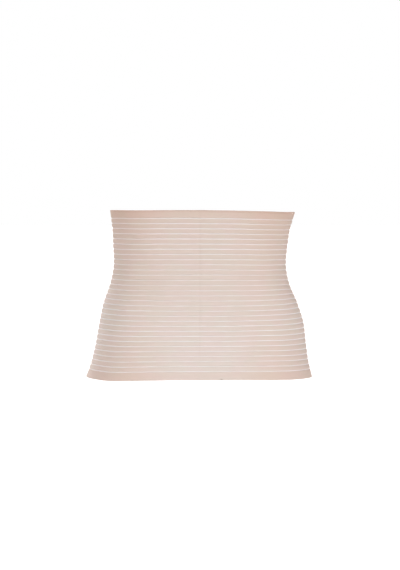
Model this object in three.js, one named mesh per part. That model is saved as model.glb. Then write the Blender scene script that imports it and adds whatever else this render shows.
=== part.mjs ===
// Abdominal binder: one ribbed elastic panel wrapped round the waist and hips, and a tape of hooks
// that closes it between its overlapped ends. Millimetres, +Z up, with the origin on the axis of the
// body at the narrowest level of the waist. The back faces -Y and the closure, on the belly, +Y.
import * as THREE from 'three';

// Height that the worn panel covers, and how much of it lies above the waist.
const wornHeight = 254.6;
const riseAboveWaist = 80.3;

// Widths down the cloth: a plain band at each edge, and a pale line on both sides of every rib.
const topBand = 12.4;
const bottomBand = 11.6;
const ribCount = 30;
const lineWidth = 1.4;

// Thickness of the cloth: the thin web that shows as pale lines, and what stands out from it.
const webThickness = 1.2;
const ribRise = 0.9;
const bandRise = 0.7;
const ribShoulder = 1.0;
const edgeBevel = 0.5;

// The body that the cloth lies on, measured at the hips: its half breadth, and its half depth to
// the back and to the belly. fullness squares its section, and sideDrop is how much lower than at
// the middle of the back a line of the cloth may run at the sides.
const hipHalfBreadth = 172;
const backHalfDepth = 104;
const bellyHalfDepth = 100;
const fullness = 0.34;
const sideDrop = 3;

// The closure: how far the ends overlap, how the outer end climbs over the inner one, and the tape
// between them, with the gap that it keeps to the cloth on each face.
const overlap = 76;
const climb = 34;
const tapeWidth = 50;
const tapeThickness = 1.5;
const tapeEndMargin = 10;
const seatGap = 0.3;

// Steps of the mesh: round the body, over the climb, and ribs to one step of the inner face.
// sideCrowding is how much shorter the steps are at the sides, where the body turns fastest.
const roundSteps = 26;
const sideCrowding = 0.25;
const climbSteps = 2;
const ribsPerInnerStep = 2;

// One row for each level of the body, from the top edge of the cloth to its bottom edge.
// down: share of wornHeight. left, right: shares of hipHalfBreadth. back: share of backHalfDepth.
// belly: share of bellyHalfDepth. dropLeft, dropRight: shares of sideDrop.
const levels = [
  { down: 0.00, left: 0.792, right: 0.830, back: 0.87, belly: 0.89, dropLeft: 0.1, dropRight: 0.9 },
  { down: 0.10, left: 0.773, right: 0.786, back: 0.84, belly: 0.87, dropLeft: 0.1, dropRight: 0.7 },
  { down: 0.21, left: 0.765, right: 0.761, back: 0.81, belly: 0.85, dropLeft: 0.3, dropRight: 0.5 },
  { down: 0.33, left: 0.759, right: 0.750, back: 0.79, belly: 0.86, dropLeft: 0.3, dropRight: 0.4 },
  { down: 0.44, left: 0.788, right: 0.780, back: 0.79, belly: 0.89, dropLeft: 0.2, dropRight: 0.1 },
  { down: 0.56, left: 0.846, right: 0.851, back: 0.81, belly: 0.94, dropLeft: -0.2, dropRight: -0.4 },
  { down: 0.68, left: 0.887, right: 0.905, back: 0.86, belly: 0.98, dropLeft: 0.0, dropRight: -0.5 },
  { down: 0.80, left: 0.921, right: 0.926, back: 0.91, belly: 1.00, dropLeft: 0.5, dropRight: -0.2 },
  { down: 0.90, left: 0.959, right: 0.946, back: 0.96, belly: 0.99, dropLeft: 0.9, dropRight: 0.1 },
  { down: 1.00, left: 1.006, right: 0.982, back: 1.01, belly: 0.97, dropLeft: 1.1, dropRight: 0.3 },
];
const columns = ['left', 'right', 'back', 'belly', 'dropLeft', 'dropRight'];
const levelCurve = new THREE.CubicInterpolant(
  Float64Array.from(levels, (row) => row.down),
  Float64Array.from(levels.flatMap((row) => columns.map((column) => row[column]))),
  columns.length,
);

function levelAt(down) {
  const values = levelCurve.evaluate(down);
  return Object.fromEntries(columns.map((column, index) => [column, values[index]]));
}

// A point on the body. turn is 0 at the middle of the back and a half turn either way at the belly.
function bodyPoint(turn, down) {
  const level = levelAt(down);
  const side = Math.sin(turn);
  const facing = Math.cos(turn);
  const halfDepth = facing > 0 ? backHalfDepth * level.back : bellyHalfDepth * level.belly;
  const drop = sideDrop * (side < 0 ? level.dropLeft : level.dropRight);
  return new THREE.Vector3(
    hipHalfBreadth * ((level.right - level.left) / 2 + side * (level.right + level.left) / 2),
    -halfDepth * facing * (1 + fullness * side ** 2),
    riseAboveWaist - wornHeight * down - drop * side ** 2 * (2 - side ** 2),
  );
}

// The outward direction at a point on the body, from its neighbours a small step away.
function bodyNormal(turn, down) {
  const step = 1e-3;
  const across = bodyPoint(turn + step, down).sub(bodyPoint(turn - step, down));
  const above = bodyPoint(turn, Math.max(down - step, 0));
  const below = bodyPoint(turn, Math.min(down + step, 1));
  return below.sub(above).cross(across).normalize();
}

// Length of cloth from the top edge, down the middle of the back, at equal steps of height.
const backSteps = 100;
const clothRun = [0];
for (let step = 1; step <= backSteps; step += 1) {
  const piece = bodyPoint(0, step / backSteps).distanceTo(bodyPoint(0, (step - 1) / backSteps));
  clothRun.push(clothRun[step - 1] + piece);
}
const clothHeight = clothRun[backSteps];

// Share of the worn height at which the cloth has run this far.
function downAt(cloth) {
  let step = 1;
  while (step < backSteps && clothRun[step] < cloth) {
    step += 1;
  }
  const rest = (cloth - clothRun[step - 1]) / (clothRun[step] - clothRun[step - 1]);
  return (step - 1 + rest) / backSteps;
}

const lineCount = ribCount + 1;
const ribWidth = (clothHeight - topBand - bottomBand - lineCount * lineWidth) / ribCount;
const lineStart = (line) => topBand + line * (ribWidth + lineWidth);

// Middles of the lines where the plain faces of the cloth and of the tape take a step.
const faceSteps = [];
for (let line = 0; line < lineCount; line += ribsPerInnerStep) {
  faceSteps.push(lineStart(line) + lineWidth / 2);
}

// The cut edge of the cloth, as the points of its outer face and of its inner face, both from the
// top down. cloth is the length from the top edge and out the height above the body.
function clothEdge() {
  const ribFace = webThickness + ribRise;
  const bandFace = webThickness + bandRise;
  const outer = [
    { cloth: 0, out: edgeBevel },
    { cloth: 0, out: bandFace - edgeBevel },
    { cloth: edgeBevel, out: bandFace },
    { cloth: topBand - ribShoulder, out: bandFace },
  ];
  for (let line = 0; line < lineCount; line += 1) {
    const start = lineStart(line);
    const end = start + lineWidth;
    outer.push({ cloth: start, out: webThickness }, { cloth: end, out: webThickness });
    if (line < ribCount) {
      outer.push({ cloth: end + ribShoulder, out: ribFace });
      outer.push({ cloth: end + ribWidth - ribShoulder, out: ribFace });
    }
  }
  outer.push(
    { cloth: clothHeight - bottomBand + ribShoulder, out: bandFace },
    { cloth: clothHeight - edgeBevel, out: bandFace },
    { cloth: clothHeight, out: bandFace - edgeBevel },
    { cloth: clothHeight, out: edgeBevel },
  );
  const run = [edgeBevel, ...faceSteps, clothHeight - edgeBevel];
  return { outer, inner: run.map((cloth) => ({ cloth, out: 0 })) };
}

// The same for the tape, which stands clear of the inner end's ribs by the seat gap.
const tapeSeat = webThickness + ribRise + seatGap;
function tapeEdge() {
  const bottom = clothHeight - tapeEndMargin;
  const between = faceSteps.filter((cloth) => cloth > tapeEndMargin && cloth < bottom);
  const run = [tapeEndMargin, ...between, bottom];
  return {
    outer: run.map((cloth) => ({ cloth, out: tapeSeat + tapeThickness })),
    inner: run.map((cloth) => ({ cloth, out: tapeSeat })),
  };
}

// A station is one line down the cloth: at a share of the half turn from the back to the belly,
// then a length on across the cloth, lifted off the body.
const overLift = tapeSeat + tapeThickness + seatGap;
const endAcross = [-overlap / 2, -tapeWidth / 2, 0, tapeWidth / 2, overlap / 2];

function clothStations() {
  const stations = endAcross.map((across) => ({ turnShare: -1, across, lift: 0 }));
  const roundEnd = -overlap / 2 - climb;
  for (let step = 1; step <= roundSteps; step += 1) {
    const share = step / roundSteps;
    const across = THREE.MathUtils.lerp(overlap / 2, roundEnd, share);
    const turn = 2 * Math.PI * (share - 0.5);
    const crowded = turn + sideCrowding / 2 * Math.sin(2 * turn);
    stations.push({ turnShare: crowded / Math.PI, across, lift: 0 });
  }
  for (let step = 1; step < climbSteps; step += 1) {
    const share = step / climbSteps;
    const lift = overLift * THREE.MathUtils.smoothstep(share, 0, 1);
    stations.push({ turnShare: 1, across: roundEnd + climb * share, lift });
  }
  return stations.concat(endAcross.map((across) => ({ turnShare: 1, across, lift: overLift })));
}

function tapeStations() {
  return endAcross.slice(1, -1).map((across) => ({ turnShare: 1, across, lift: 0 }));
}

function stationPoint(station, corner) {
  const down = downAt(corner.cloth);
  const level = levelAt(down);
  const halfBreadth = hipHalfBreadth * (level.left + level.right) / 2;
  const turn = Math.PI * station.turnShare + station.across / halfBreadth;
  return bodyPoint(turn, down).addScaledVector(bodyNormal(turn, down), corner.out + station.lift);
}

// Faces over a cut edge, in short bays between the points of its inner face. Corners are numbered
// down the outer face and back up the inner one.
function edgeFaces({ outer, inner }) {
  const loop = [...outer, ...inner.toReversed()];
  const innerCorner = (index) => loop.length - 1 - index;
  const faces = [];
  let from = 0;
  for (let bay = 0; bay <= inner.length; bay += 1) {
    const to = bay < inner.length
      ? outer.findIndex((point) => point.cloth >= inner[bay].cloth)
      : outer.length - 1;
    const corners = [];
    for (let index = from; index <= to; index += 1) {
      corners.push(index);
    }
    if (bay < inner.length) {
      corners.push(innerCorner(bay));
    }
    if (bay > 0) {
      corners.push(innerCorner(bay - 1));
    }
    const flat = corners.map((corner) => new THREE.Vector2(loop[corner].cloth, loop[corner].out));
    for (const face of THREE.ShapeUtils.triangulateShape(flat, [])) {
      const clockwise = THREE.ShapeUtils.isClockWise(face.map((index) => flat[index]));
      faces.push((clockwise ? face.toReversed() : face).map((index) => corners[index]));
    }
    from = to;
  }
  return faces;
}

// A closed body: the cut edge is carried from station to station, and both ends are filled.
function wrap(edge, stations) {
  const loop = [...edge.outer, ...edge.inner.toReversed()];
  const positions = stations.flatMap((station) =>
    loop.flatMap((corner) => stationPoint(station, corner).toArray()));
  const corners = loop.length;
  const indices = [];
  for (let here = 0; here < (stations.length - 1) * corners; here += corners) {
    const there = here + corners;
    for (let corner = 0; corner < corners; corner += 1) {
      const next = (corner + 1) % corners;
      indices.push(here + corner, here + next, there + next);
      indices.push(here + corner, there + next, there + corner);
    }
  }
  const last = (stations.length - 1) * corners;
  for (const [a, b, c] of edgeFaces(edge)) {
    indices.push(a, b, c, last + a, last + c, last + b);
  }
  const geometry = new THREE.BufferGeometry();
  geometry.setAttribute('position', new THREE.Float32BufferAttribute(positions, 3));
  geometry.setIndex(indices);
  geometry.computeVertexNormals();
  return geometry;
}

function elasticPanel() {
  const elastic = new THREE.MeshStandardMaterial({ color: 0xdfcdc1, roughness: 0.9, metalness: 0 });
  const panel = new THREE.Mesh(wrap(clothEdge(), clothStations()), elastic);
  panel.name = 'elastic_panel';
  return panel;
}

function hookTape() {
  const hooks = new THREE.MeshStandardMaterial({ color: 0xd8c6b8, roughness: 0.7, metalness: 0 });
  const tape = new THREE.Mesh(wrap(tapeEdge(), tapeStations()), hooks);
  tape.name = 'hook_tape';
  return tape;
}

const binder = new THREE.Group();
binder.name = 'abdominal_binder';
binder.add(elasticPanel(), hookTape());

export default binder;
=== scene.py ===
import math

import bpy
import numpy as np
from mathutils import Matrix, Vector


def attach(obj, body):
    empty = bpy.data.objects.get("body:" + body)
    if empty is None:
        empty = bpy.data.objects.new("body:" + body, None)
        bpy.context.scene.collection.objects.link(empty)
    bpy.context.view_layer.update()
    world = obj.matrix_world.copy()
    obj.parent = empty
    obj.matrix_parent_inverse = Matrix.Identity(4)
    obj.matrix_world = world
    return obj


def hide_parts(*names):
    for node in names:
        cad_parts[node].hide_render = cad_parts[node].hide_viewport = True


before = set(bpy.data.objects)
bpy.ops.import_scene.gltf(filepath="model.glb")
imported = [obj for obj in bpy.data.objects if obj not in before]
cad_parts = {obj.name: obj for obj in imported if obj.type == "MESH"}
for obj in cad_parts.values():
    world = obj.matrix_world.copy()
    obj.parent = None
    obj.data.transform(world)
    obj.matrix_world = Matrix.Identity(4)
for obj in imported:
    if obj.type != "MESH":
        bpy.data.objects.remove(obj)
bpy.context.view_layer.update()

# Sizes of the worn cloth, in metres, as the solids have them.
WORN_HEIGHT = 0.2546
RISE_ABOVE_WAIST = 0.0803
TOP_BAND = 0.0124
BOTTOM_BAND = 0.0116
RIB_COUNT = 30
LINE_WIDTH = 0.0014
WEB = 0.0012
RIB_RISE = 0.0009
BAND_RISE = 0.0007
EDGE_RADIUS = 0.0006
HIP_HALF_BREADTH = 0.172
BACK_HALF_DEPTH = 0.104
FRONT_HALF_DEPTH = 0.100
FULLNESS = 0.34
SIDE_DROP = 0.003

# The closure: the overlapped ends and the tape of hooks between them. Past the tape, the outer end
# dips a little towards its cut edge.
OVERLAP = 0.076
CLIMB = 0.034
TAPE_WIDTH = 0.050
TAPE_THICKNESS = 0.0015
TAPE_END_MARGIN = 0.010
SEAT_GAP = 0.0003
TAPE_SEAT = WEB + RIB_RISE + SEAT_GAP
OVER_LIFT = TAPE_SEAT + TAPE_THICKNESS + SEAT_GAP
END_DIP = 0.0016

# Levels of the form, the surface that the inner face of the cloth lies on, from the top edge of
# the cloth down. Each row: share of WORN_HEIGHT, left and right shares of HIP_HALF_BREADTH, shares
# of the back's and the front's half depth, and the left and right shares of SIDE_DROP.
LEVELS = np.array([
    (0.00, 0.792, 0.830, 0.87, 0.89, 0.1, 0.9),
    (0.10, 0.773, 0.786, 0.84, 0.87, 0.1, 0.7),
    (0.21, 0.765, 0.761, 0.81, 0.85, 0.3, 0.5),
    (0.33, 0.759, 0.750, 0.79, 0.86, 0.3, 0.4),
    (0.44, 0.788, 0.780, 0.79, 0.89, 0.2, 0.1),
    (0.56, 0.846, 0.851, 0.81, 0.94, -0.2, -0.4),
    (0.68, 0.887, 0.905, 0.86, 0.98, 0.0, -0.5),
    (0.80, 0.921, 0.926, 0.91, 1.00, 0.5, -0.2),
    (0.90, 0.959, 0.946, 0.96, 0.99, 0.9, 0.1),
    (1.00, 1.006, 0.982, 1.01, 0.97, 1.1, 0.3),
])


def level_at(down):
    """The columns of LEVELS at these shares of the height, on smooth curves through its rows."""
    at, rows = LEVELS[:, 0], LEVELS[:, 1:]
    rise = np.diff(rows, axis=0) / np.diff(at)[:, None]
    slope = np.vstack([rise[:1], np.zeros_like(rise[1:]), rise[-1:]])
    before, after = np.diff(at)[:-1, None], np.diff(at)[1:, None]
    slope[1:-1] = (rise[:-1] * after + rise[1:] * before) / (before + after)
    row = np.clip(np.searchsorted(at, down, side="right") - 1, 0, len(at) - 2)
    span = (at[row + 1] - at[row])[..., None]
    s = (down - at[row])[..., None] / span
    return (
        (1 + 2 * s) * (1 - s) ** 2 * rows[row]
        + s * (1 - s) ** 2 * span * slope[row]
        + s**2 * (3 - 2 * s) * rows[row + 1]
        + s**2 * (s - 1) * span * slope[row + 1]
    )


def form_point(turn, down):
    """Points on the form. turn is 0 at the middle of the back and half a turn at the front."""
    left, right, back, front, drop_left, drop_right = np.moveaxis(level_at(down), -1, 0)
    side, facing = np.sin(turn), np.cos(turn)
    depth = np.where(facing > 0, BACK_HALF_DEPTH * back, FRONT_HALF_DEPTH * front)
    drop = SIDE_DROP * np.where(side < 0, drop_left, drop_right)
    return np.stack([
        HIP_HALF_BREADTH * ((right - left) / 2 + side * (right + left) / 2),
        -depth * facing * (1 + FULLNESS * side**2),
        RISE_ABOVE_WAIST - WORN_HEIGHT * down - drop * side**2 * (2 - side**2),
    ], axis=-1)


def form_normal(turn, down):
    """Outward directions at those points, from their neighbours a small step away."""
    step = 1e-3
    across = form_point(turn + step, down) - form_point(turn - step, down)
    above = form_point(turn, down - step)
    below = form_point(turn, down + step)
    normal = np.cross(below - above, across)
    return normal / np.linalg.norm(normal, axis=-1, keepdims=True)


def run_along(points):
    """Lengths along a row of points, from its first."""
    return np.concatenate([[0], np.cumsum(np.linalg.norm(np.diff(points, axis=0), axis=1))])


# Length of cloth from the top edge, down the middle of the back, and one step past each edge.
DOWN_STEP = 0.01
BACK_DOWN = np.linspace(-DOWN_STEP, 1 + DOWN_STEP, round(1 / DOWN_STEP) + 3)
CLOTH_RUN = run_along(form_point(np.zeros_like(BACK_DOWN), BACK_DOWN))
CLOTH_RUN -= CLOTH_RUN[1]
CLOTH_HEIGHT = CLOTH_RUN[-2]
LINE_COUNT = RIB_COUNT + 1
RIB_WIDTH = (CLOTH_HEIGHT - TOP_BAND - BOTTOM_BAND - LINE_COUNT * LINE_WIDTH) / RIB_COUNT
PITCH = RIB_WIDTH + LINE_WIDTH

# What wear has done to the cloth: edges that lie a little low, and ribs that slip down a little at
# the waist. The middle and the reach of that slip are shares of the height from the top edge.
TOP_SLIP = 0.0006
FOOT_SLIP = 0.0010
SLIP = 0.00150
SLIP_MIDDLE = 0.57
SLIP_REACH = 0.23

# Ribs that waver, and a cloth that undulates over the form. Each row: waves round the cloth, waves
# down it, where they start in radians, and share of the size named above the table. Whole
# numbers of waves round the cloth keep both layers of the overlap alike.
WAVER = 0.00010
WAVER_WAVES = (
    (7, 1.3, 0.0, 1.0),
    (13, -2.1, 1.0, 0.6),
    (29, 3.7, 2.0, 0.4),
)
UNDULATION = 0.00030
UNDULATION_WAVES = (
    (5, 0.8, 0.5, 1.0),
    (9, -1.7, 2.4, 0.7),
)

# The crease down the middle of the back, where the strip was stored folded: its place to the side,
# the heights between which it shows, and how softly it ends there.
CREASE_DEPTH = 0.00040
CREASE_PLACE = -0.0011
CREASE_HALF_WIDTH = 0.0022
CREASE_TOP = 0.072
CREASE_BOTTOM = -0.105
CREASE_FADE = 0.00875

# The cloth rides up a little round the sides: how far, from which share of the breadth on, and
# how much of it shows. Each row: share of the height from the top edge, and shares of the rise at
# the left and at the right.
SIDE_RISE = 0.0031
SIDE_RISE_FROM = 0.78
SIDE_RISE_POWER = 1.3
SIDE_RISES = np.array([
    (0.00, 0.15, 0.00),
    (0.30, 0.20, 0.00),
    (0.38, 0.30, -0.15),
    (0.44, 0.45, -0.15),
    (0.50, 0.60, 0.30),
    (0.57, 0.75, 0.70),
    (0.65, 0.75, 0.60),
    (0.75, 0.70, 0.50),
    (0.82, 0.65, 0.25),
    (0.90, 0.85, 0.00),
    (1.00, 1.00, 0.15),
])

# The bottom edge flares off the form a little at the left: how far, from how far above the edge
# on, and how close to the side it keeps.
FOOT_FLARE = 0.0011
FOOT_FLARE_REACH = 0.022
FOOT_FLARE_POWER = 4

# Painted rim light round the left side, a pale patch that stands in for light from behind: how
# much at most, from which share of the breadth on, and between which shares of the height from
# the top edge it sets in.
RIM_LIGHT_MOST = 0.28
RIM_LIGHT_FROM = 0.84
RIM_LIGHT_POWER = 1.9
RIM_LIGHT_HEIGHTS = (0.34, 0.58)


def share_between(value, start, end):
    """How far value has come from start to end, as a share from 0 to 1."""
    return np.clip((value - start) / (end - start), 0, 1)


def eased(share):
    """A share from 0 to 1 on a smooth step that starts and ends level."""
    return share * share * (3 - 2 * share)


def waves(table, turn, cloth):
    """The sum of a table's waves at these turns and lengths down the cloth."""
    level = 2 * math.pi * cloth / CLOTH_HEIGHT
    return sum(
        share * np.sin(waves_round * turn + waves_down * level + start)
        for waves_round, waves_down, start, share in table
    )


def side_rise(turn, cloth):
    """How far the cloth rides up round the sides."""
    side = np.sin(turn)
    share, left, right = SIDE_RISES.T
    level = cloth / CLOTH_HEIGHT
    shown = np.where(side < 0, np.interp(level, share, left), np.interp(level, share, right))
    return SIDE_RISE * shown * share_between(np.abs(side), SIDE_RISE_FROM, 1) ** SIDE_RISE_POWER


def painted_rim_light(turn, cloth):
    """How much painted rim light lies on the cloth, as a share of the rim-lit colours: round the
    left side alone.
    """
    to_side = share_between(-np.sin(turn), RIM_LIGHT_FROM, 1)
    below = share_between(cloth / CLOTH_HEIGHT, *RIM_LIGHT_HEIGHTS)
    return RIM_LIGHT_MOST * to_side**RIM_LIGHT_POWER * eased(below)


def stray(turn, cloth):
    """How far the ribs stray down the cloth."""
    from_slip = (cloth / CLOTH_HEIGHT - SLIP_MIDDLE) / SLIP_REACH
    slip = SLIP * np.exp(-(from_slip**2))
    bands = (0, TOP_BAND, CLOTH_HEIGHT - BOTTOM_BAND, CLOTH_HEIGHT)
    edges = np.interp(cloth, bands, (TOP_SLIP, 0, 0, FOOT_SLIP))
    return slip + edges - side_rise(turn, cloth) + WAVER * waves(WAVER_WAVES, turn, cloth)


def undulation(turn, cloth):
    """How far the cloth swells or sinks over the form, with the flare at its foot."""
    near_foot = share_between(cloth, CLOTH_HEIGHT - FOOT_FLARE_REACH, CLOTH_HEIGHT)
    to_left = np.clip(-np.sin(turn), 0, 1)
    flare = FOOT_FLARE * near_foot**2 * to_left**FOOT_FLARE_POWER
    return flare + UNDULATION * waves(UNDULATION_WAVES, turn, cloth)


def crease(points):
    """How deep the stored fold still is at these points."""
    sideways, backward, up = np.moveaxis(points, -1, 0)
    across = np.exp(-(((sideways - CREASE_PLACE) / CREASE_HALF_WIDTH) ** 2))
    below_top = 1 / (1 + np.exp((up - CREASE_TOP) / CREASE_FADE))
    above_bottom = 1 / (1 + np.exp((CREASE_BOTTOM - up) / CREASE_FADE))
    return CREASE_DEPTH * across * (backward < 0) * below_top * above_bottom


def turn_at(turn_share, across, cloth):
    """The turn round the form, from a share of the half turn and a length on across the cloth."""
    columns = level_at(np.interp(cloth, CLOTH_RUN, BACK_DOWN))
    half_breadth = HIP_HALF_BREADTH * (columns[..., 0] + columns[..., 1]) / 2
    return math.pi * turn_share + across / half_breadth


def cloth_point(turn_share, across, cloth, out):
    """Points of the cloth: a share of the half turn from the back to the front and a length on
    across the cloth, a length down it from its top edge, and a height above the form."""
    turn = turn_at(turn_share, across, cloth)
    down = np.interp(cloth + stray(turn, cloth), CLOTH_RUN, BACK_DOWN)
    form = form_point(turn, down)
    height = out + undulation(turn, cloth) - crease(form)
    return form + form_normal(turn, down) * height[..., None]


# How finely the cloth is meshed: across a rib, a band and a rim, and round the form. Near the
# crease the lines down the cloth lie closer, and the even ones keep a little clear of them.
RIB_STEPS = 7
BAND_STEPS = 8
SHOULDER_STEPS = 3
RIM_STEPS = 6
ROUND_STEPS = 150
CREASE_STEPS = 12
CREASE_REACH = 0.010
CREASE_CLEAR = 1.1
CLIMB_STEPS = 10
OVERLAP_STEPS = 12

# How the cloth's faces are shaped: how square a rib's crown is and how wide a band's shoulder is.
CROWN_POWER = 6.0
BAND_SHOULDER = 0.0011
THICK = WEB + BAND_RISE

# A line on the inner face, from the bottom up. Each row: share of the line's width down from where
# it starts on the outer face, and 1 where it is as deep as INNER_GROOVE and pale.
INNER_GROOVE = 0.00025
INNER_LINE = (
    (1.3, 0),
    (0.9, 1),
    (0.1, 1),
    (-0.3, 0),
)


def outer_edge():
    """The outer face of the cut edge, from its top rim to its bottom one: lengths down the cloth,
    heights above the form, and 1 where a pale line shows."""
    even = np.arange(1, RIB_STEPS) / RIB_STEPS
    # Closer together towards the rib's sides, where its crown turns down.
    share = even - np.sin(2 * math.pi * even) / (4 * math.pi)
    crown = WEB + RIB_RISE * np.sqrt(1 - np.abs(2 * share - 1) ** CROWN_POWER)
    quarter = np.linspace(0, math.pi / 2, SHOULDER_STEPS + 1)[:-1]
    shoulder = list(zip(BAND_SHOULDER * (1 - np.sin(quarter)), WEB + BAND_RISE * np.cos(quarter)))
    half = np.linspace(-math.pi / 2, math.pi / 2, RIM_STEPS + 1)
    rim = list(zip(EDGE_RADIUS * (1 - np.cos(half)), THICK / 2 * (1 + np.sin(half))))
    top = np.linspace(EDGE_RADIUS, TOP_BAND - BAND_SHOULDER, BAND_STEPS)[1:-1]
    bottom = np.linspace(EDGE_RADIUS, BOTTOM_BAND - BAND_SHOULDER, BAND_STEPS)[1:-1]

    points = [(at, out, 0) for at, out in rim]
    points += [(at, THICK, 0) for at in top]
    points += [(TOP_BAND - at, out, 0) for at, out in shoulder]
    for line in range(LINE_COUNT):
        start = TOP_BAND + line * PITCH
        points += [(start + LINE_WIDTH * part, WEB, 1) for part in (0, 0.5, 1)]
        if line < RIB_COUNT:
            rib = start + LINE_WIDTH
            points += [(rib + RIB_WIDTH * at, out, 0) for at, out in zip(share, crown)]
    bottom_band = CLOTH_HEIGHT - BOTTOM_BAND
    points += [(bottom_band + at, out, 0) for at, out in reversed(shoulder)]
    points += [(CLOTH_HEIGHT - at, THICK, 0) for at in reversed(bottom)]
    points += [(CLOTH_HEIGHT - at, out, 0) for at, out in reversed(rim)]
    return points


def inner_edge():
    """The inner face of the cut edge, from the bottom up, with shallow lines."""
    points = []
    for line in reversed(range(LINE_COUNT)):
        start = TOP_BAND + line * PITCH
        if line < RIB_COUNT:
            points.append((start + LINE_WIDTH + RIB_WIDTH / 2, 0, 0))
        points += [(start + LINE_WIDTH * at, INNER_GROOVE * deep, deep) for at, deep in INNER_LINE]
    return points


def over_lift(across):
    """How high the outer end lies over the form, with its dip past the tape."""
    return OVER_LIFT - END_DIP * eased(share_between(across, TAPE_WIDTH / 2, OVERLAP / 2))


def cloth_stations():
    """Lines down the cloth, one after the other along the strip: the share of the half turn, the
    length on across the cloth and the lift off the form."""
    ends = np.linspace(-OVERLAP / 2, OVERLAP / 2, OVERLAP_STEPS + 1)
    round_end = -OVERLAP / 2 - CLIMB
    half_breadth = HIP_HALF_BREADTH * np.mean(LEVELS[:, 1:3])
    run = 2 * math.pi * half_breadth - OVERLAP - CLIMB
    middle = (math.pi * half_breadth - OVERLAP / 2) / run
    near_middle = middle + np.linspace(-CREASE_REACH, CREASE_REACH, CREASE_STEPS) / run
    even = np.arange(1, ROUND_STEPS + 1) / ROUND_STEPS
    even = even[np.abs(even - middle) > CREASE_REACH / run * CREASE_CLEAR]
    shares = np.sort(np.concatenate([even, near_middle]))
    stations = [(-1, at, 0) for at in ends]
    stations += [(2 * s - 1, OVERLAP / 2 * (1 - s) + round_end * s, 0) for s in shares]
    rising = np.arange(1, CLIMB_STEPS) / CLIMB_STEPS
    stations += [(1, round_end + CLIMB * s, OVER_LIFT * eased(s)) for s in rising]
    stations += [(1, at, over_lift(at)) for at in ends]
    return np.array(stations)


# Room at each side of the map that the finish is baked through, for the strip's two cut ends, and
# the share of it that a cut end takes.
BAKE_MARGIN = 0.012
BAKE_END_SHARE = 0.7

SHARPEST_SMOOTH = math.radians(50)
SAME_PLACE = 1e-6


def pick(piece):
    """Selects this piece alone, as the active one."""
    bpy.ops.object.select_all(action="DESELECT")
    piece.select_set(True)
    bpy.context.view_layer.objects.active = piece


def smooth(piece):
    """Shades a piece smooth, apart from its sharp edges."""
    pick(piece)
    bpy.ops.object.shade_smooth_by_angle(angle=SHARPEST_SMOOTH)


def new_piece(name, points, faces):
    """A mesh object at the origin, with its place in its mesh."""
    mesh = bpy.data.meshes.new(name)
    mesh.from_pydata(points.tolist(), [], faces)
    piece = bpy.data.objects.new(name, mesh)
    bpy.context.scene.collection.objects.link(piece)
    return piece


def end_faces(outer, inner):
    """Triangles over a cut end, from the top down. Corners are numbered down the outer face and
    back up the inner one."""
    lengths = [point[0] for point in outer + inner]
    faces = []
    here, there = 0, len(lengths) - 1
    while here < len(outer) - 1 or there > len(outer):
        next_outer = lengths[here + 1] if here < len(outer) - 1 else math.inf
        next_inner = lengths[there - 1] if there > len(outer) else math.inf
        if next_outer <= next_inner:
            faces.append((here, there, here + 1))
            here += 1
        else:
            faces.append((here, there, there - 1))
            there -= 1
    return np.array(faces)


def map_row(first, second):
    """Rows of a map, one for each corner of each face."""
    return np.stack([first.ravel(), second.ravel()], axis=-1)


def elastic_cloth():
    """The ribbed elastic as one closed skin, with its own map in metres along and down the strip,
    attributes where its lines show pale and where painted rim light lies on it, and a map for
    baking that lays the strip out flat."""
    outer, inner, stations = outer_edge(), inner_edge(), cloth_stations()
    edge, corners, count = np.array(outer + inner), len(outer + inner), len(stations)
    cloth, out, pale = (np.tile(column, count) for column in edge.T)
    turn_share, across, lift = (np.repeat(column, corners) for column in stations.T)
    points = cloth_point(turn_share, across, cloth, out + lift)

    station, corner = np.meshgrid(np.arange(count - 1), np.arange(corners), indexing="ij")
    side_station = np.stack([station, station, station + 1, station + 1], axis=-1)
    side_corner = np.stack([corner, corner + 1, corner + 1, corner], axis=-1)
    sides = (side_station * corners + side_corner % corners).reshape(-1, 4)
    last = end_faces(outer, inner)
    ends = np.concatenate([last[:, ::-1], last + (count - 1) * corners])
    piece = new_piece("elastic_cloth", points, sides.tolist() + ends.tolist())

    run = run_along(points.reshape(count, corners, 3)[:, len(outer) // 2])
    run_round = run_along(np.vstack([edge, edge[:1]])[:, :2])
    end_down, end_out, _ = np.moveaxis(edge[ends % corners], -1, 0)
    weave = np.concatenate([
        map_row(run[side_station], edge[side_corner % corners, 0]),
        map_row(run[ends // corners], end_down),
    ])
    side_u = BAKE_MARGIN + (1 - 2 * BAKE_MARGIN) * run / run[-1]
    end_u = BAKE_MARGIN * BAKE_END_SHARE * (1 - end_out / (WEB + RIB_RISE))
    bake = np.concatenate([
        map_row(side_u[side_station], run_round[side_corner] / run_round[-1]),
        map_row(np.where(ends < corners, end_u, 1 - end_u), end_down / CLOTH_HEIGHT),
    ])
    for name, places in (("weave", weave), ("OFBake", bake)):
        piece.data.uv_layers.new(name=name).data.foreach_set("uv", places.ravel())
    # Painted rim light round the left side, kept as an attribute.
    rim_light = painted_rim_light(turn_at(turn_share, across, cloth), cloth)
    for name, values in (("pale", pale), ("rim_light", rim_light)):
        piece.data.attributes.new(name, "FLOAT", "POINT").data.foreach_set("value", values)
    smooth(piece)
    return piece


THREAD = 0.00038

# A stitch of the seam. Each row: share of the way along it, and how far it is bowed up. The seam
# lies in from the tape's sides, and half as far in from the tape's ends.
STITCH = PITCH / 3
STITCH_INSET = 0.0022
STITCH_SUNK = 0.6
STITCH_THINNEST = 0.7
STITCH_POINTS = np.array([
    (0.04, 0.15),
    (0.18, 0.85),
    (0.50, 1.00),
    (0.82, 0.85),
    (0.96, 0.15),
])

# The loops round the cut ends. They stand off each face and past the end by shares of the thread.
LOOP_PITCH = 0.0017
LOOP_REACH = 0.0042
LOOP_SLANT = 0.0009
LOOP_OFF_FACE = 0.25
LOOP_PAST_END = 0.6
LOOP_LEG_POINTS = 5
LOOP_TURN_STEPS = 5

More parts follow.
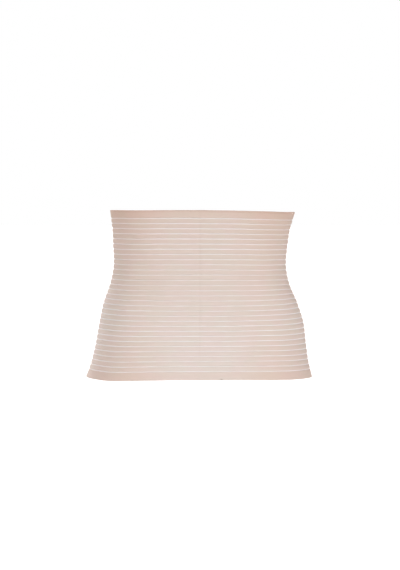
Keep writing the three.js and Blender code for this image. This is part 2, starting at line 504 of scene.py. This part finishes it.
# The loose thread end. Each row: how far down past the bottom edge, how far above the form, how far
# across from its place, and share of its thickness.
LOOSE_THREAD = 0.00070
LOOSE_THREAD_PLACE = 0.0338
LOOSE_THREAD_POINTS = np.array([
    (-0.0018, 0.0017, -0.0009, 0.8),
    (-0.0009, 0.0023, -0.0005, 1.0),
    (-0.0003, 0.0024, 0.0000, 1.1),
    (-0.0002, 0.0023, 0.0007, 1.2),
    (-0.0006, 0.0021, 0.0012, 0.9),
])

# A hook, from the tape on. Each row: shares of its height along the cloth and off the tape, and
# share of its thickness.
HOOK_WIRE = 0.00022
HOOK_PITCH = 0.0021
HOOK_POINTS = np.array([
    (0.00, 0.00, 1.0),
    (0.00, 0.70, 1.0),
    (0.25, 1.00, 1.0),
    (0.50, 0.90, 0.9),
    (0.55, 0.65, 0.7),
])

# The woven base of the tape: its thickness, and how finely it is meshed across and down.
TAPE_BASE = 0.0007
TAPE_STEPS_ACROSS = 20
TAPE_STEPS_DOWN = 96


def threads(name, strands, thickness):
    """A piece of many short strands, each a row of points with a share of the thickness each."""
    curve = bpy.data.curves.new(name, "CURVE")
    curve.dimensions = "3D"
    curve.bevel_depth = thickness / 2
    curve.bevel_resolution = 1
    curve.use_fill_caps = True
    for points, shares in strands:
        spline = curve.splines.new("POLY")
        spline.points.add(len(points) - 1)
        placed = np.column_stack([points, np.ones(len(points))])
        spline.points.foreach_set("co", placed.ravel())
        spline.points.foreach_set("radius", list(shares))
    piece = bpy.data.objects.new(name, curve)
    bpy.context.scene.collection.objects.link(piece)
    pick(piece)
    bpy.ops.object.convert(target="MESH")
    bpy.ops.object.mode_set(mode="EDIT")
    bpy.ops.mesh.select_all(action="SELECT")
    bpy.ops.mesh.remove_doubles(threshold=SAME_PLACE)
    bpy.ops.object.mode_set(mode="OBJECT")
    smooth(piece)
    return piece


def loose_thread():
    """A thread end that has worked out of the bottom edge, right of the middle of the back."""
    down, out, across, shares = LOOSE_THREAD_POINTS.T
    back = np.zeros(len(shares))
    places = cloth_point(back, LOOSE_THREAD_PLACE + across, CLOTH_HEIGHT + down, out)
    return threads("loose_thread", [(places, shares)], LOOSE_THREAD)


def outer_height(cloth):
    """Height of the outer face above the inner one at these lengths down the cloth."""
    at, out = np.array(outer_edge())[RIM_STEPS : -RIM_STEPS, :2].T
    return np.interp(cloth, at, out)


def stitch_row(across, cloth):
    """Stitches on the outer end, between each two of these places along a row."""
    along, bow = STITCH_POINTS.T
    shares = STITCH_THINNEST + (1 - STITCH_THINNEST) * bow
    front = np.ones(len(bow))
    strands = []
    for index in range(len(across) - 1):
        a = across[index] + (across[index + 1] - across[index]) * along
        c = cloth[index] + (cloth[index + 1] - cloth[index]) * along
        height = outer_height(c) + OVER_LIFT + THREAD * (bow - STITCH_SUNK)
        strands.append((cloth_point(front, a, c, height), shares))
    return strands


def tape_stitching():
    """The seam that holds the tape of hooks, a long rectangle on the outer end."""
    side = TAPE_WIDTH / 2 - STITCH_INSET
    top = TAPE_END_MARGIN + STITCH_INSET / 2
    bottom = CLOTH_HEIGHT - TAPE_END_MARGIN - STITCH_INSET / 2
    down = np.linspace(top, bottom, round((bottom - top) / STITCH) + 1)
    over = np.linspace(-side, side, round(2 * side / STITCH) + 1)
    strands = []
    for across in (-side, side):
        strands += stitch_row(np.full_like(down, across), down)
    for cloth in (top, bottom):
        strands += stitch_row(over, np.full_like(over, cloth))
    return threads("tape_stitching", strands, THREAD)


def end_loops(name, facing):
    """Overlocked loops of thread round one cut end of the cloth. facing is 1 at the outer end and
    -1 at the inner one."""
    off_face = THREAD * LOOP_OFF_FACE
    past_end = THREAD * LOOP_PAST_END
    leg = np.linspace(0, 1, LOOP_LEG_POINTS)
    turn = np.linspace(0, math.pi, LOOP_TURN_STEPS + 1)[1:-1]
    past = np.concatenate([-LOOP_REACH * (1 - leg), past_end * np.sin(turn), -LOOP_REACH * leg])
    slant = LOOP_SLANT * np.concatenate([1 - leg, np.zeros(len(turn)), leg])
    turn_share = np.full(len(past), facing)
    across = facing * (OVERLAP / 2 + past)
    lift = over_lift(across) if facing > 0 else 0
    strands = []
    for cloth in np.arange(LOOP_PITCH, CLOTH_HEIGHT - LOOP_PITCH / 2, LOOP_PITCH):
        middle = (outer_height(cloth) + off_face) / 2
        height = np.concatenate([
            outer_height(cloth + LOOP_SLANT * (1 - leg)) + off_face,
            middle + middle * np.cos(turn),
            np.full(len(leg), -off_face),
        ])
        places = cloth_point(turn_share, across, cloth + slant, height + lift)
        strands.append((places, np.ones(len(past))))
    return threads(name, strands, THREAD)


def tape_base():
    """The woven tape under the outer end, which the hooks stand on."""
    across = np.linspace(-TAPE_WIDTH / 2, TAPE_WIDTH / 2, TAPE_STEPS_ACROSS + 1)
    cloth = np.linspace(TAPE_END_MARGIN, CLOTH_HEIGHT - TAPE_END_MARGIN, TAPE_STEPS_DOWN + 1)
    high = TAPE_SEAT + TAPE_THICKNESS
    a, c = np.meshgrid(across, cloth, indexing="ij")
    points, faces = [], []
    for out in (high, high - TAPE_BASE):
        points.append(cloth_point(np.ones_like(a), a, c, np.full_like(a, out)).reshape(-1, 3))
    layer, row = a.size, len(cloth)
    for i in range(len(across) - 1):
        for j in range(row - 1):
            corner = i * row + j
            faces.append((corner, corner + 1, corner + row + 1, corner + row))
            below = layer + corner
            faces.append((below, below + row, below + row + 1, below + 1))
    rim = [i * row for i in range(len(across))]
    rim += [(len(across) - 1) * row + j for j in range(1, row)]
    rim += [i * row + row - 1 for i in reversed(range(len(across) - 1))]
    rim += list(reversed(range(1, row - 1)))
    for here, onward in zip(rim, rim[1:] + rim[:1]):
        faces.append((here, onward, onward + layer, here + layer))
    piece = new_piece("tape_base", np.vstack(points), faces)
    smooth(piece)
    return piece


def tape_hooks():
    """Rows of small hooks on the tape, leaning one way and the other in turn."""
    low = TAPE_SEAT + TAPE_THICKNESS - TAPE_BASE
    rise = low - (WEB + RIB_RISE) - HOOK_WIRE
    along, off_tape, shares = HOOK_POINTS.T
    front = np.ones(len(shares))
    lean = rise * (along - along.mean())
    columns = np.arange(-TAPE_WIDTH / 2 + HOOK_PITCH / 2, TAPE_WIDTH / 2, HOOK_PITCH)
    rows = np.arange(TAPE_END_MARGIN + HOOK_PITCH / 2, CLOTH_HEIGHT - TAPE_END_MARGIN, HOOK_PITCH)
    strands = []
    for index, across in enumerate(columns):
        leaning = lean if index % 2 else -lean
        for cloth in rows:
            places = cloth_point(front, across * front, cloth + leaning, low - rise * off_tape)
            strands.append((places, shares))
    return threads("tape_hooks", strands, HOOK_WIRE)


# The weave. Pitches in metres on the unrolled cloth: the yarns over the ribs, which lie a little
# out of line, and the ladder of threads in the lines.
YARN = 0.00095
YARN_DRIFT = 1.2 * YARN
YARN_SHARE = 0.6
THREADS_A_RIB = 6
LADDER = 0.0016
LADDER_SHARE = 0.5
FUZZ_SHARE = 0.25
RELIEF = 0.00016
RELIEF_STRENGTH = 0.8

# Between which values of the attribute pale the ribs give way to a line.
LINE_SETS_IN = (0.60, 0.95)

# Colours of the ribs and the lines, their painted shade in the hollows of their weave, and their
# colours under the painted rim light round the left side.
RIB_COLOUR = (0.700, 0.597, 0.549)
RIB_HOLLOW_SHADE = (0.600, 0.485, 0.428)
LINE_COLOUR = (0.830, 0.802, 0.815)
LINE_HOLLOW_SHADE = (0.735, 0.678, 0.672)
# Painted rim light: the paler colours of the ribs and the lines round the left side.
RIM_LIT_RIB_COLOUR = (0.86, 0.80, 0.77)
RIM_LIT_LINE_COLOUR = (0.97, 0.95, 0.94)

# The dye's unevenness: its two tints, how many patches there are to the metre each way, and
# between which values of the noise one tint gives way to the other.
BLUSH = (1.010, 0.992, 0.995)
SALLOW = (0.992, 1.005, 0.988)
DYE_PATCHES = (30.0, 30.0, 55.0)
DYE_SETS_IN = (0.35, 0.65)

# Painted shadow along the top edge: its width, the share of it that has the full shadow, and the
# shadow's tint.
TOP_SHADOW_WIDTH = 0.0042
TOP_SHADOW_FULL = 0.6
TOP_SHADOW_TINT = (0.95, 0.91, 0.89)

# Gloss of the cloth: roughness in the hollows and on top, sheen and specular.
HOLLOW_ROUGHNESS = 0.95
TOP_ROUGHNESS = 0.78
SHEEN = 0.03
SHEEN_ROUGHNESS = 0.45
SPECULAR = 0.15

# Slow changes of tint over the cloth, each a share of its own colour: painted shade at the top and
# painted light at the foot, painted shade towards the sides and down the crease, and the tint of
# the two plain bands.
PLAIN_TINT = (1.0, 1.0, 1.0)
TOP_SHADE_TINT = (0.958, 0.928, 0.907)
FOOT_LIGHT_TINT = (1.042, 1.072, 1.093)
SIDE_SHADE_TINT = (0.977, 0.912, 0.874)
SIDE_SHADE_FROM = 0.030
SIDE_SHADE_TO = 0.120
# Painted shade down the crease: its tint, half width, top and bottom, and how softly it ends.
FOLD_SHADE_TINT = (0.985, 0.978, 0.974)
FOLD_SHADE_HALF_WIDTH = 0.0021
FOLD_SHADE_TOP = 0.072
FOLD_SHADE_BOTTOM = -0.145
FOLD_SHADE_FADE = 0.010
BAND_TINT = (0.995, 0.965, 0.950)
BAND_TINT_STEP = 0.0006

# How much of the painted side shade shows. Each row: share of the height from the bottom edge,
# and share of the painted shade there.
SIDES_SHADED = (
    (0.00, 0.95),
    (0.10, 0.88),
    (0.25, 0.60),
    (0.42, 0.42),
    (0.58, 0.55),
    (0.75, 0.62),
    (0.88, 0.82),
    (1.00, 1.00),
)

# How much of their paleness the lines keep. Each row: share of the height from the bottom edge,
# and share kept there. The sides add to it between two breadths, in metres, and patches of it
# come and go by LINES_PATCHY.
LINES_KEPT = (
    (0.00, 0.54),
    (0.12, 0.52),
    (0.26, 0.72),
    (0.40, 0.60),
    (0.55, 0.53),
    (0.67, 0.65),
    (0.76, 0.86),
    (0.85, 1.00),
    (1.00, 1.00),
)
LINES_SIDES = 0.45
LINES_SIDES_FROM = 0.055
LINES_SIDES_TO = 0.145
LINES_PATCHY = 0.10
PATCHES_SET_IN = (0.3, 0.7)

# Noises: how many to the metre, or to a patch of the dye, and how much detail each one has.
DRIFT_NOISE = (70.0, 2.0)
PATCH_NOISE = (45.0, 1.0)
DYE_NOISE = (1.0, 2.0)
FUZZ_NOISE = (2600.0, 3.0)
THREAD_NOISE = (900.0, 2.0)
TWIST_NOISE = (4200.0, 2.0)

# Threads and hooks: colour and roughness of each finish, and what they share.
THREAD_FINISHES = {
    "sewing_thread": ((0.80, 0.68, 0.60), 0.7),
    "worn_thread": ((0.30, 0.22, 0.17), 0.8),
    "hook_nylon": ((0.72, 0.62, 0.55), 0.45),
}
THREAD_DARKER = 0.86
THREAD_RELIEF = 0.00008
THREAD_RELIEF_STRENGTH = 0.5
THREAD_SHEEN = 0.15

# The tape's plain weave, with painted shade in its hollows.
TAPE_WEAVE = 0.0007
TAPE_COLOUR = (0.66, 0.54, 0.47)
TAPE_HOLLOW_SHADE = (0.50, 0.40, 0.34)
TAPE_RELIEF = 0.0001
TAPE_ROUGHNESS = 0.8


def new_finish(name):
    """A node material, its tree and its shader."""
    material = bpy.data.materials.new(name)
    material.use_nodes = True
    return material, material.node_tree, material.node_tree.nodes["Principled BSDF"]


def feed(tree, value, socket):
    """Links a socket to an input or sets the input to a value. None leaves it as it is."""
    if isinstance(value, bpy.types.NodeSocket):
        tree.links.new(value, socket)
    elif value is not None:
        socket.default_value = value


def node(tree, kind, *values, **settings):
    """A node with its first inputs set to these values or fed by these sockets."""
    made = tree.nodes.new(kind)
    for name, setting in settings.items():
        setattr(made, name, setting)
    for socket, value in zip(made.inputs, values):
        feed(tree, value, socket)
    return made


def result(tree, operation, *values):
    """What a Math node makes of these values."""
    return node(tree, "ShaderNodeMath", *values, operation=operation).outputs[0]


def times(tree, value, *others):
    """These values multiplied together."""
    for other in others:
        value = result(tree, "MULTIPLY", value, other)
    return value


def parts(tree, vector):
    """The three parts of a vector."""
    return node(tree, "ShaderNodeSeparateXYZ", vector).outputs


def noise(tree, place, scale, detail):
    """Soft noise from 0 to 1 at these places."""
    return node(tree, "ShaderNodeTexNoise", place, None, scale, detail).outputs["Fac"]


def ramp(tree, value, low, high, start=0.0, end=1.0):
    """A smooth step from start to end as value goes from low to high."""
    made = node(
        tree, "ShaderNodeMapRange", value, low, high, start, end, interpolation_type="SMOOTHSTEP"
    )
    return made.outputs[0]


def mixed(tree, share, first, second, blend="MIX"):
    """Two colours mixed, with this share of the second."""
    made = node(tree, "ShaderNodeMix", share, data_type="RGBA", blend_type=blend)
    colours = [socket for socket in made.inputs if socket.type == "RGBA"]
    for colour, socket in zip((first, second), colours):
        feed(tree, (*colour, 1) if isinstance(colour, tuple) else colour, socket)
    return next(socket for socket in made.outputs if socket.type == "RGBA")


def ridges(tree, value, pitch):
    """Round ridges a pitch apart: 0 in the hollows between them and 1 on top."""
    return result(tree, "ABSOLUTE", result(tree, "SINE", times(tree, value, math.pi / pitch)))


def raise_relief(tree, shader, height, depth, strength=1.0):
    """Gives a finish relief: a height of 1 stands this depth above a height of 0, in metres."""
    bump = node(tree, "ShaderNodeBump")
    bump.inputs["Strength"].default_value = strength
    bump.inputs["Distance"].default_value = depth
    feed(tree, height, bump.inputs["Height"])
    feed(tree, bump.outputs[0], shader.inputs["Normal"])


def by_height(tree, up, table):
    """A value that follows a table by the share of the height from the bottom edge."""
    foot = RISE_ABOVE_WAIST - WORN_HEIGHT
    height = node(tree, "ShaderNodeMapRange", up, foot, RISE_ABOVE_WAIST).outputs[0]
    made = node(tree, "ShaderNodeFloatCurve", 1.0, height)
    points = made.mapping.curves[0].points
    for share, value in table[1:-1]:
        points.new(share, value)
    points[0].location = table[0]
    points[-1].location = table[-1]
    made.mapping.update()
    return made.outputs[0]


def lines_kept(tree, place):
    """The share of their paleness that the lines keep over the cloth."""
    sideways, _, up = parts(tree, place)
    kept = by_height(tree, up, LINES_KEPT)
    from_middle = result(tree, "ABSOLUTE", sideways)
    sides = ramp(tree, from_middle, LINES_SIDES_FROM, LINES_SIDES_TO, 0.0, LINES_SIDES)
    patches = noise(tree, place, *PATCH_NOISE)
    uneven = ramp(tree, patches, *PATCHES_SET_IN, -LINES_PATCHY, LINES_PATCHY)
    return result(tree, "ADD", result(tree, "ADD", kept, sides), uneven)


def slow_tints(tree, place, down):
    """Painted shade at the top and painted light at the foot, painted shade towards the sides and
    down the crease, and the tint of the two plain bands.
    """
    sideways, backward, up = parts(tree, place)
    foot = RISE_ABOVE_WAIST - WORN_HEIGHT
    # Share of the way down, from the painted shade at the top to the painted light at the foot.
    lower = node(tree, "ShaderNodeMapRange", up, RISE_ABOVE_WAIST, foot).outputs[0]

    # Painted shade towards the sides.
    from_middle = result(tree, "ABSOLUTE", sideways)
    to_side = ramp(tree, from_middle, SIDE_SHADE_FROM, SIDE_SHADE_TO)
    side = times(tree, to_side, by_height(tree, up, SIDES_SHADED))

    # Painted shade down the crease in the middle of the back.
    from_fold = result(tree, "ABSOLUTE", result(tree, "SUBTRACT", sideways, CREASE_PLACE))
    fold = times(
        tree,
        ramp(tree, from_fold, FOLD_SHADE_HALF_WIDTH, 0.0),
        result(tree, "LESS_THAN", backward, 0.0),
        ramp(tree, up, FOLD_SHADE_TOP + FOLD_SHADE_FADE, FOLD_SHADE_TOP - FOLD_SHADE_FADE),
        ramp(tree, up, FOLD_SHADE_BOTTOM - FOLD_SHADE_FADE, FOLD_SHADE_BOTTOM + FOLD_SHADE_FADE),
    )

    from_foot = result(tree, "SUBTRACT", CLOTH_HEIGHT, down)
    from_edge = result(tree, "MINIMUM", down, from_foot)
    in_band = ramp(tree, from_edge, BOTTOM_BAND + BAND_TINT_STEP, BOTTOM_BAND - BAND_TINT_STEP)
    return (
        mixed(tree, lower, TOP_SHADE_TINT, FOOT_LIGHT_TINT),
        mixed(tree, side, PLAIN_TINT, SIDE_SHADE_TINT),
        mixed(tree, fold, PLAIN_TINT, FOLD_SHADE_TINT),
        mixed(tree, in_band, PLAIN_TINT, BAND_TINT),
    )


def dye_tint(tree, place):
    """The small unevenness of the dye."""
    stretched = node(tree, "ShaderNodeMapping", place, vector_type="POINT")
    stretched.inputs["Scale"].default_value = DYE_PATCHES
    patches = noise(tree, stretched.outputs[0], *DYE_NOISE)
    return mixed(tree, ramp(tree, patches, *DYE_SETS_IN), BLUSH, SALLOW)


def yarns_and_ladder(tree, place, along, down):
    """How high the yarns stand over the ribs, and how high the ladder stands in the lines."""
    drift = noise(tree, place, *DRIFT_NOISE)
    strayed = result(tree, "MULTIPLY_ADD", drift, YARN_DRIFT, along)
    below_band = result(tree, "SUBTRACT", down, TOP_BAND)
    thread = times(tree, below_band, THREADS_A_RIB / PITCH)
    odd = result(tree, "PINGPONG", result(tree, "FLOOR", thread), 1.0)
    woven = result(tree, "MULTIPLY_ADD", odd, YARN / 2, strayed)
    rows = times(tree, ridges(tree, thread, 1.0), 1 - YARN_SHARE)
    yarns = result(tree, "MULTIPLY_ADD", ridges(tree, woven, YARN), YARN_SHARE, rows)
    return yarns, ridges(tree, strayed, LADDER)


def elastic_finish():
    """Beige yarns over rubber threads, paler and more open in the lines between the ribs."""
    material, tree, shader = new_finish("ribbed_elastic")
    weave = node(tree, "ShaderNodeUVMap", uv_map="weave").outputs[0]
    along, down, _ = parts(tree, weave)
    place = node(tree, "ShaderNodeTexCoord").outputs["Object"]
    yarns, ladder = yarns_and_ladder(tree, place, along, down)

    pale = node(tree, "ShaderNodeAttribute", attribute_name="pale").outputs["Fac"]
    # Painted rim light round the left side, read from the attribute.
    rim_light = node(tree, "ShaderNodeAttribute", attribute_name="rim_light").outputs["Fac"]
    in_line = ramp(tree, pale, *LINE_SETS_IN)
    on_rib = result(tree, "SUBTRACT", 1.0, in_line)
    # Painted shade in the hollows of the weave, on the ribs and in the lines.
    rib = mixed(tree, yarns, RIB_HOLLOW_SHADE, RIB_COLOUR)
    rib = mixed(tree, rim_light, rib, RIM_LIT_RIB_COLOUR)
    line = mixed(tree, ladder, LINE_HOLLOW_SHADE, LINE_COLOUR)
    line = mixed(tree, rim_light, line, RIM_LIT_LINE_COLOUR)
    cloth = mixed(tree, times(tree, in_line, lines_kept(tree, place)), rib, line)
    for tint in (*slow_tints(tree, place, down), dye_tint(tree, place)):
        cloth = mixed(tree, 1.0, cloth, tint, "MULTIPLY")
    # Painted shadow along the top edge.
    in_top_shadow = ramp(tree, down, TOP_SHADOW_WIDTH, TOP_SHADOW_WIDTH * TOP_SHADOW_FULL)
    top_shadow = mixed(tree, 1.0, cloth, TOP_SHADOW_TINT, "MULTIPLY")
    feed(tree, mixed(tree, in_top_shadow, cloth, top_shadow), shader.inputs["Base Color"])

    relief = result(
        tree, "ADD", times(tree, yarns, on_rib), times(tree, ladder, in_line, LADDER_SHARE)
    )
    fuzz = noise(tree, place, *FUZZ_NOISE)
    height = result(tree, "MULTIPLY_ADD", fuzz, FUZZ_SHARE, relief)
    raise_relief(tree, shader, height, RELIEF, RELIEF_STRENGTH)
    roughness = ramp(tree, relief, 0.0, 1.0, HOLLOW_ROUGHNESS, TOP_ROUGHNESS)
    feed(tree, roughness, shader.inputs["Roughness"])
    shader.inputs["Sheen Weight"].default_value = SHEEN
    shader.inputs["Sheen Roughness"].default_value = SHEEN_ROUGHNESS
    shader.inputs["Specular IOR Level"].default_value = SPECULAR
    return material


def thread_finish(name):
    """Twisted thread or moulded hooks, a little uneven in colour."""
    colour, roughness = THREAD_FINISHES[name]
    material, tree, shader = new_finish(name)
    place = node(tree, "ShaderNodeTexCoord").outputs["Object"]
    darker = tuple(THREAD_DARKER * share for share in colour)
    uneven = mixed(tree, noise(tree, place, *THREAD_NOISE), darker, colour)
    feed(tree, uneven, shader.inputs["Base Color"])
    twist = noise(tree, place, *TWIST_NOISE)
    raise_relief(tree, shader, twist, THREAD_RELIEF, THREAD_RELIEF_STRENGTH)
    shader.inputs["Roughness"].default_value = roughness
    shader.inputs["Sheen Weight"].default_value = THREAD_SHEEN
    return material


def tape_finish():
    """The plain weave that the hooks stand on."""
    material, tree, shader = new_finish("woven_tape")
    place = node(tree, "ShaderNodeTexCoord").outputs["Object"]
    across, _, up = parts(tree, place)
    weave = times(tree, ridges(tree, across, TAPE_WEAVE), ridges(tree, up, TAPE_WEAVE))
    # Painted shade in the hollows of the weave.
    colour = mixed(tree, weave, TAPE_HOLLOW_SHADE, TAPE_COLOUR)
    feed(tree, colour, shader.inputs["Base Color"])
    raise_relief(tree, shader, weave, TAPE_RELIEF)
    shader.inputs["Roughness"].default_value = TAPE_ROUGHNESS
    return material


cloth = elastic_cloth()
cloth.data.materials.append(elastic_finish())
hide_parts("elastic_panel")

sewing_thread = thread_finish("sewing_thread")
stitching = tape_stitching()
inner_loops = end_loops("inner_end_loops", -1)
outer_loops = end_loops("outer_end_loops", 1)
for piece in (stitching, inner_loops, outer_loops):
    piece.data.materials.append(sewing_thread)
thread_end = loose_thread()
thread_end.data.materials.append(thread_finish("worn_thread"))

base = tape_base()
base.data.materials.append(tape_finish())
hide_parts("hook_tape")
hooks = tape_hooks()
hooks.data.materials.append(thread_finish("hook_nylon"))

for piece in (cloth, stitching, inner_loops, outer_loops, thread_end, base, hooks):
    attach(piece, "root")

# The photograph's view: from behind, level with the cloth's top edge and aimed a little down.
CAMERA_PLACE = Vector((-0.0006, -5.0, 0.080))
CAMERA_AIM = Vector((-0.0006, 0.0, -0.0349))
CAMERA_LENS_MM = 206.5

# The floor, and how bright the camera sees it and the surround, apart from what lights the part.
WHITE = (1.0, 1.0, 1.0, 1)
FLOOR_COLOUR = (0.92, 0.92, 0.92, 1)
FLOOR_ROUGHNESS = 0.9
FLOOR_HEIGHT = -0.95
FLOOR_SIZE = 400.0
FLOOR_LIFT = 0.45
SURROUND = 0.228
SURROUND_SEEN = 1.0

# Soft lights: strength, spread in degrees and the way that each one shines.
LIGHTS = {
    "left_light": (1.20, 40, (0.6645, 0.6645, -0.3420)),
    "right_light": (1.61, 40, (-0.6645, 0.6645, -0.3420)),
    "far_light": (2.28, 50, (0.25, -0.78, -0.5736)),
}


def seen_strength(tree, lit, seen):
    """One strength for what lights the part and another for what the camera sees."""
    camera_ray = node(tree, "ShaderNodeLightPath").outputs["Is Camera Ray"]
    return ramp(tree, camera_ray, 0.0, 1.0, lit, seen)


def turned_to(direction):
    """The rotation that turns a camera or a light this way."""
    return Vector(direction).to_track_quat("-Z", "Y").to_euler()


def plain_stage():
    """A white floor below, the camera, an even pale surround and the soft lights."""
    bpy.ops.mesh.primitive_plane_add(size=FLOOR_SIZE, location=(0, 0, FLOOR_HEIGHT))
    floor = bpy.context.active_object
    floor.name = "floor"
    material, tree, shader = new_finish("white_floor")
    shader.inputs["Base Color"].default_value = FLOOR_COLOUR
    shader.inputs["Roughness"].default_value = FLOOR_ROUGHNESS
    shader.inputs["Emission Color"].default_value = WHITE
    feed(tree, seen_strength(tree, 0.0, FLOOR_LIFT), shader.inputs["Emission Strength"])
    floor.data.materials.append(material)

    lens = bpy.data.cameras.new("camera")
    lens.lens = CAMERA_LENS_MM
    camera = bpy.data.objects.new("camera", lens)
    camera.location = CAMERA_PLACE
    camera.rotation_euler = turned_to(CAMERA_AIM - CAMERA_PLACE)
    bpy.context.scene.collection.objects.link(camera)
    bpy.context.scene.camera = camera

    world = bpy.data.worlds.new("surround")
    world.use_nodes = True
    tree = world.node_tree
    surround = tree.nodes["Background"]
    surround.inputs["Color"].default_value = WHITE
    feed(tree, seen_strength(tree, SURROUND, SURROUND_SEEN), surround.inputs["Strength"])
    bpy.context.scene.world = world

    for name, (strength, spread, direction) in LIGHTS.items():
        light = bpy.data.lights.new(name, "SUN")
        light.energy = strength
        light.angle = math.radians(spread)
        lamp = bpy.data.objects.new(name, light)
        lamp.rotation_euler = turned_to(direction)
        bpy.context.scene.collection.objects.link(lamp)
    bpy.context.scene.view_settings.view_transform = "Standard"


plain_stage()
